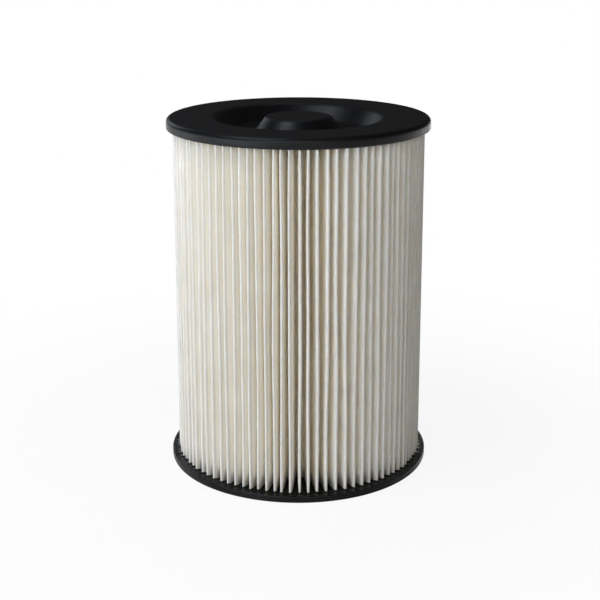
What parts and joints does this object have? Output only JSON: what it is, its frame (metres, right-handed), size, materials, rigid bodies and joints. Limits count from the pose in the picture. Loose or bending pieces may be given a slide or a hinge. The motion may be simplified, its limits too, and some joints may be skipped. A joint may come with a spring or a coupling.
{
  "type": "shop vacuum cartridge filter",
  "caption": "Round pleated paper filter cartridge for a shop vacuum, with a closed moulded cap on top, an open sealing ring below and a lattice core inside.",
  "frame": {"origin": "centre of the open end's underside, which is what the filter stands on", "axes": "+Z along the cartridge's axis, from the open end up to the closed end"},
  "size_m": [0.162, 0.162, 0.215],
  "materials": {
    "cap_rubber": "satin moulded black",
    "ring_rubber": "satin moulded black",
    "filter_paper": "matte fibrous off-white",
    "core_plastic": "matte moulded dark grey"
  },
  "bodies": {
    "root": {"closed_end_cap": "cap_rubber", "open_end_ring": "ring_rubber", "pleated_paper": "filter_paper", "support_core": "core_plastic"}
  },
  "joints": []
}
